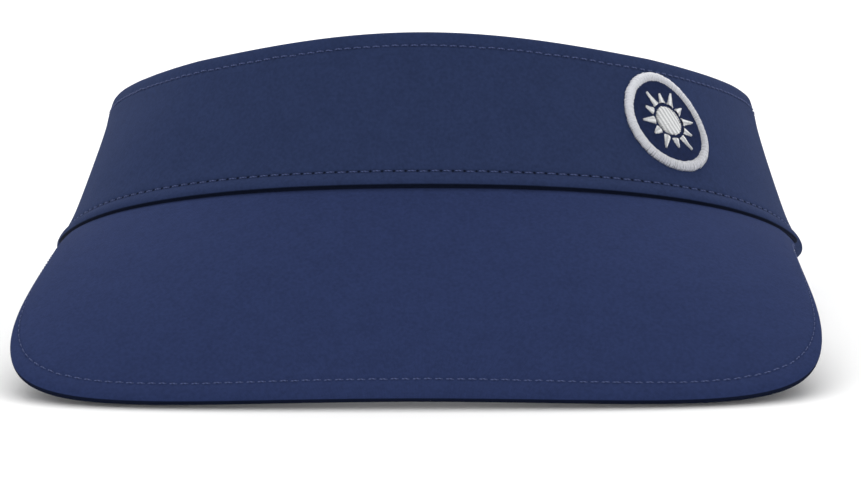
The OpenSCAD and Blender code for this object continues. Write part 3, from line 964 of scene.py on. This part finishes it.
def make_emblem():
    """A plain sun in satin stitch: a disc and twelve tapering rays."""
    rng = np.random.default_rng(43)
    disc, rays, spots = 4.0, 12, []
    spots += satin(0, 0, 20, lambda a: 2 * math.sqrt(max(0.0, disc ** 2 - a * a)), 2 * disc,
                   0.30, rng)
    for k in range(rays):
        t = 2 * math.pi * k / rays
        reach = (5.2, 9.3) if k % 2 == 0 else (5.2, 7.8)
        for r in np.arange(reach[0], reach[1], 0.30):
            wide = 1.7 * (1 - (r - reach[0]) / (reach[1] - reach[0])) + 0.35
            spots.append((r * math.cos(t), r * math.sin(t), 1.12 + rng.normal(0, 0.02),
                          math.degrees(t) + 90 + rng.normal(0, 2.0),
                          (wide + rng.normal(0, 0.06)) / 2.0))
    thread = model_wire(low_arch(2.0, 0.34, 0.12), 0.36)
    return lay_copies("patch_sun", thread, spots, on_patch)


fit(make_patch_ground(), CROWN, "patch_twill", patch_navy, "patch_base")
fit(make_border_core(), CROWN, "white_thread", border_thread, "patch_border")
fit(wound_border(), CROWN, "white_thread", border_thread)
fit(make_emblem(), CROWN, "white_thread", white_thread, "patch_emblem")


# ----------------------------------------------------------------- the straps
STRAP_H, STRAP_T = 26.0, 1.6
LEFT_N, RIGHT_N = 0.2, -3.85
TAB_START, LAP_END = run_of(177.0), run_of(200.0)
HINGE = run_of(REAR_A)


def strap_loop():
    """The strap's section: thickness and height, with soft edges."""
    t, h = STRAP_T, STRAP_H
    face = [2.6, 6.5, 13.0, h - 6.5, h - 2.6]
    keys = [(0, 1.0), (0.35, 0.25), (t / 2, 0.02), (t - 0.35, 0.25), (t, 1.0)]
    keys += [(t + 0.04, z) for z in face]
    keys += [(t, h - 1.0), (t - 0.35, h - 0.25), (t / 2, h - 0.02), (0.35, h - 0.25), (0, h - 1.0)]
    return soft_loop(keys + [(-0.04, z) for z in face[::-1]], 0.7)


def make_strap(name, s0, s1, base, round_end=0.0, inset=0.0):
    """A strap from s0 to s1; base gives how far out it lies, by length round."""
    loop = strap_loop()
    s = np.linspace(s0, s1, int(abs(s1 - s0) / 0.7))[:, None]
    half = STRAP_H / 2
    left = np.clip(round_end - np.abs(s1 - s), 0.0, round_end)
    trim = round_end - np.sqrt(np.maximum(0.0, round_end ** 2 - left ** 2))
    z = half + (loop[:, 1] - half) * (half - inset - trim) / half
    low = np.minimum(loop[:, 1], STRAP_H - loop[:, 1])
    rows = drawn_in(s, low - STRAP_ROW, STRAP_PITCH, 0.8)
    thick = np.sign(loop[:, 0] - STRAP_T / 2) * 0.14
    n = base(s) + loop[:, 0] - thick * rows + 0.08 * np.sign(thick) * swell(s, z, 7)
    rings = on_strap(s, z, n)
    along = np.broadcast_to(s, (len(s), len(loop) + 1))
    off = np.broadcast_to(low, (len(s), len(loop)))
    return sweep(name, rings, {"weave": (along, girth(rings)), "strap": (along, closed(off))})


def bend(a, b, s0, s1, n):
    """The two bodies and the end points of the stretch of a strap that lies between them."""
    start, end = (tuple(on_strap(s, STRAP_H / 2, n) * MM) for s in (s0, s1))
    return a, b, start, end


def strap_rows(name, s0, s1, base, out, body, seed, *nodes):
    """Edge stitching along both sides of a strap, on its face."""
    rng = np.random.default_rng(seed)
    s = (np.arange(math.ceil(s0 / STRAP_PITCH), math.floor(s1 / STRAP_PITCH)) + 0.5) * STRAP_PITCH
    spots = [(q, z, float(base(q)) + out, rng.normal(0, 1.5), 1.0)
             for z in (STRAP_ROW, STRAP_H - STRAP_ROW) for q in s]
    shape = fine_stitch if out > 0 else turned_over(fine_stitch)
    fit(lay_copies(name, shape, spots, on_strap), body, "navy_thread", navy_thread, *nodes)


def left_base(s):
    return 0.85 + (LEFT_N - 0.85) * fade(s, HINGE - 2.0, HINGE + 2.5)


def tab_base(s):
    return LEFT_N + 0.0 * s


def right_base(s):
    return RIGHT_N - 0.3 * fade(s, -HINGE - 2.5, -HINGE + 1.0)


left_bend = bend(CROWN, LEFT, HINGE - 1.0, HINGE + 7.0, 1.0)
tab_bend = bend(LEFT, TAB, TAB_START - 5.5, TAB_START + 1.5, 1.0)
right_bend = bend(CROWN, RIGHT, -HINGE + 1.0, -HINGE - 7.0, -3.0)
STRAP_JOIN = TAB_START - 9.0
left_sleeve = fit(make_strap("left_strap_cloth", HINGE - 7.5, STRAP_JOIN, left_base),
                  left_bend, "navy_cloth", strap_navy, "left_strap")
tab_sleeve = fit(make_strap("hook_tab_cloth", STRAP_JOIN - 2.0, LAP_END, tab_base, 0.9, 0.25),
                 tab_bend, "navy_cloth", strap_navy, "hook_tab")
right_sleeve = fit(make_strap("right_strap_cloth", -HINGE + 6.3, -LAP_END, right_base, 1.2),
                   right_bend, "navy_cloth", strap_navy, "right_strap")

OUTER, INNER = STRAP_T - 0.12, -0.02
strap_rows("left_strap_row", HINGE - 6, STRAP_JOIN - 1, left_base, OUTER, left_bend, 51,
           "left_strap_stitching")
strap_rows("hook_tab_row", STRAP_JOIN + 1, LAP_END - 7, tab_base, OUTER, tab_bend, 52,
           "hook_tab_stitching")
strap_rows("left_strap_row_inside", HINGE + 1, STRAP_JOIN - 3, left_base, INNER, left_bend, 55)
strap_rows("right_strap_row", 7 - LAP_END, 5 - HINGE, right_base, OUTER, right_bend, 53)
strap_rows("right_strap_row_inside", 7 - LAP_END, 5 - HINGE, right_base, INNER, right_bend, 54,
           "right_strap_stitching")


TACK_STEP = 0.34


def tack(name, s, place, out, node):
    """A bar tack: a column of short threads laid close together."""
    rng = np.random.default_rng(61)
    spots = [(s, w, out, rng.normal(0, 3), rng.normal(1, 0.04))
             for w in np.arange(5.5, 20.5, TACK_STEP)]
    shape = model_wire(low_arch(1.7, 0.34, 0.25), TACK_STEP)
    fit(lay_copies(name, shape, spots, place), CROWN, "navy_thread", navy_thread, node)


tack("left_strap_tack_threads", HINGE - 5.2, on_strap, 2.42, "left_strap_tack")
tack("right_strap_tack_threads", -HINGE + 3.6, on_crown, 0.42, "right_strap_tack")


def make_tape(name, s0, s1, n0, n1, margin=2.5):
    """A thin tape with softly rounded edges, bent with its strap."""
    z0, z1 = margin, STRAP_H - margin
    za, zb = STRAP_H / 2 - 4, STRAP_H / 2 + 4
    mid = (n0 + n1) / 2
    keys = [(n0, z0 + 0.4), (mid, z0), (n1, z0 + 0.4), (n1, za), (n1, zb), (n1, z1 - 0.4),
            (mid, z1), (n0, z1 - 0.4), (n0, zb), (n0, za)]
    loop = soft_loop(keys, 1.2)
    s = np.linspace(s0, s1, int(abs(s1 - s0) / 0.9))[:, None]
    rings = on_strap(s, np.broadcast_to(loop[:, 1], (len(s), len(loop))), loop[:, 0] + 0 * s)
    along = np.broadcast_to(s, (len(s), len(loop) + 1))
    return sweep(name, rings, {"weave": (along, girth(rings))})


def pile_spots(s0, s1, step, n, seed, turn):
    """A staggered field of small shapes over a tape."""
    rng = np.random.default_rng(seed)
    spots = []
    for i, z in enumerate(np.arange(3.4, STRAP_H - 3.2, step)):
        for s in np.arange(min(s0, s1) + 0.8 + (i % 2) * step / 2, max(s0, s1) - 0.7, step):
            spots.append((s + rng.normal(0, 0.08), z + rng.normal(0, 0.06), n,
                          turn(rng, i), rng.normal(1.0, 0.06)))
    return spots


HOOKS = (TAB_START + 2.0, LAP_END - 7.5)
LOOPS = (-LAP_END + 6.0, run_of(-(REAR_A + 22)))
fit(make_tape("hook_tape_ground", *HOOKS, -0.42, 0.12), tab_bend, "hook_pile", hook_ground,
    "hook_tape")
hook = model_wire([(0, 0.0), (0.0, 0.32), (0.06, 0.5), (0.2, 0.6), (0.36, 0.55), (0.4, 0.42)],
                  0.15, 5)
fit(lay_copies("hook_tape_hooks", turned_over(hook),
               pile_spots(*HOOKS, 1.15, -0.40, 71, lambda rng, i: 180 * (i % 2)), on_strap),
    tab_bend, "hook_pile", hook_plastic)
fit(make_tape("loop_tape_ground", *LOOPS, -2.2, -1.62), RIGHT, "loop_pile", loop_pile,
    "loop_tape")
fuzz = model_wire([(-0.42, 0.0), (-0.4, 0.25), (-0.2, 0.42), (0.1, 0.45), (0.34, 0.3),
                   (0.42, 0.0)], 0.12, 4)
fit(lay_copies("loop_tape_loops", fuzz,
               pile_spots(*LOOPS, 1.0, -1.64, 72, lambda rng, i: rng.uniform(0, 180)), on_strap),
    RIGHT, "loop_pile", loop_pile)

# --------------------------------------------------------- the hidden insides
for name, s0, s1, n, body, node in (
        ("left_strap_insert", HINGE + 8, STRAP_JOIN - 1, LEFT_N, LEFT, "left_strap_core"),
        ("hook_tab_insert", TAB_START + 2, LAP_END - 2, LEFT_N, TAB, "hook_tab_core"),
        ("right_strap_insert", -LAP_END + 2, -HINGE - 8, RIGHT_N, RIGHT,
         "right_strap_core")):
    fit(make_tape(name, s0, s1, n + 0.5, n + STRAP_T - 0.5, 1.0), body, "stiffener",
        stiff_white, node)
refinish("crown_stiffener", stiff_white)
refinish("brim_board", board_white)
refinish("sweatband_padding", foam_cream)


# -------------------------------------------------------------- floor and light
def make_floor():
    start_clean()
    bpy.ops.mesh.primitive_plane_add(size=9.0, location=(0, 0, -0.0002))
    floor = bpy.context.object
    floor.name = "floor"
    g = Graph("pale floor")
    g.finish(g.mix(g.noise(3.0).band(0.3, 0.7), (0.92, 0.92, 0.92), (0.94, 0.94, 0.94)),
             g.noise(9.0) * 0.1 + 0.85, g.noise(40.0), 0.01, 0.1)
    floor.data.materials.append(g.mat)


def soft_box(name, place, aim, width, height, power):
    lamp = bpy.data.lights.new(name, 'AREA')
    lamp.shape, lamp.size, lamp.size_y, lamp.energy = 'RECTANGLE', width, height, power
    obj = bpy.data.objects.new(name, lamp)
    bpy.context.scene.collection.objects.link(obj)
    obj.location = place
    obj.rotation_euler = (Vector(aim) - Vector(place)).to_track_quat('-Z', 'Y').to_euler()


def make_camera():
    """Looks down a little on the forehead and the brim."""
    aim = Vector((0.0, -0.060, 0.030))
    lift, side, roll, far = math.radians(9.57), math.radians(2.07), math.radians(0.53), 1.189
    back = Vector((math.sin(side) * math.cos(lift), -math.cos(side) * math.cos(lift),
                   math.sin(lift)))
    right = Vector((math.cos(side), math.sin(side), 0.0))
    up = back.cross(right)
    level = math.cos(roll) * right - math.sin(roll) * up
    upright = math.sin(roll) * right + math.cos(roll) * up
    data = bpy.data.cameras.new("camera")
    data.lens, data.sensor_width = 191.9, 36.0
    data.shift_x, data.shift_y = 0.0108, -0.0135
    data.clip_start, data.clip_end = 0.05, 30.0
    camera = bpy.data.objects.new("camera", data)
    turn = Matrix((level, upright, back)).transposed().to_4x4()
    camera.matrix_world = Matrix.Translation(aim + far * back) @ turn
    bpy.context.scene.collection.objects.link(camera)
    bpy.context.scene.camera = camera


def light_room():
    world = bpy.data.worlds.new("white room")
    bpy.context.scene.world = world
    world.use_nodes = True
    walls = world.node_tree.nodes["Background"].inputs
    walls["Color"].default_value, walls["Strength"].default_value = (1, 1, 1, 1), 0.93
    soft_box("overhead", (0.0, 0.95, 1.15), (0.0, 0.0, 0.0), 1.6, 1.0, 12.5)


make_floor()
light_room()
make_camera()
bpy.context.scene.view_settings.view_transform = 'Standard'
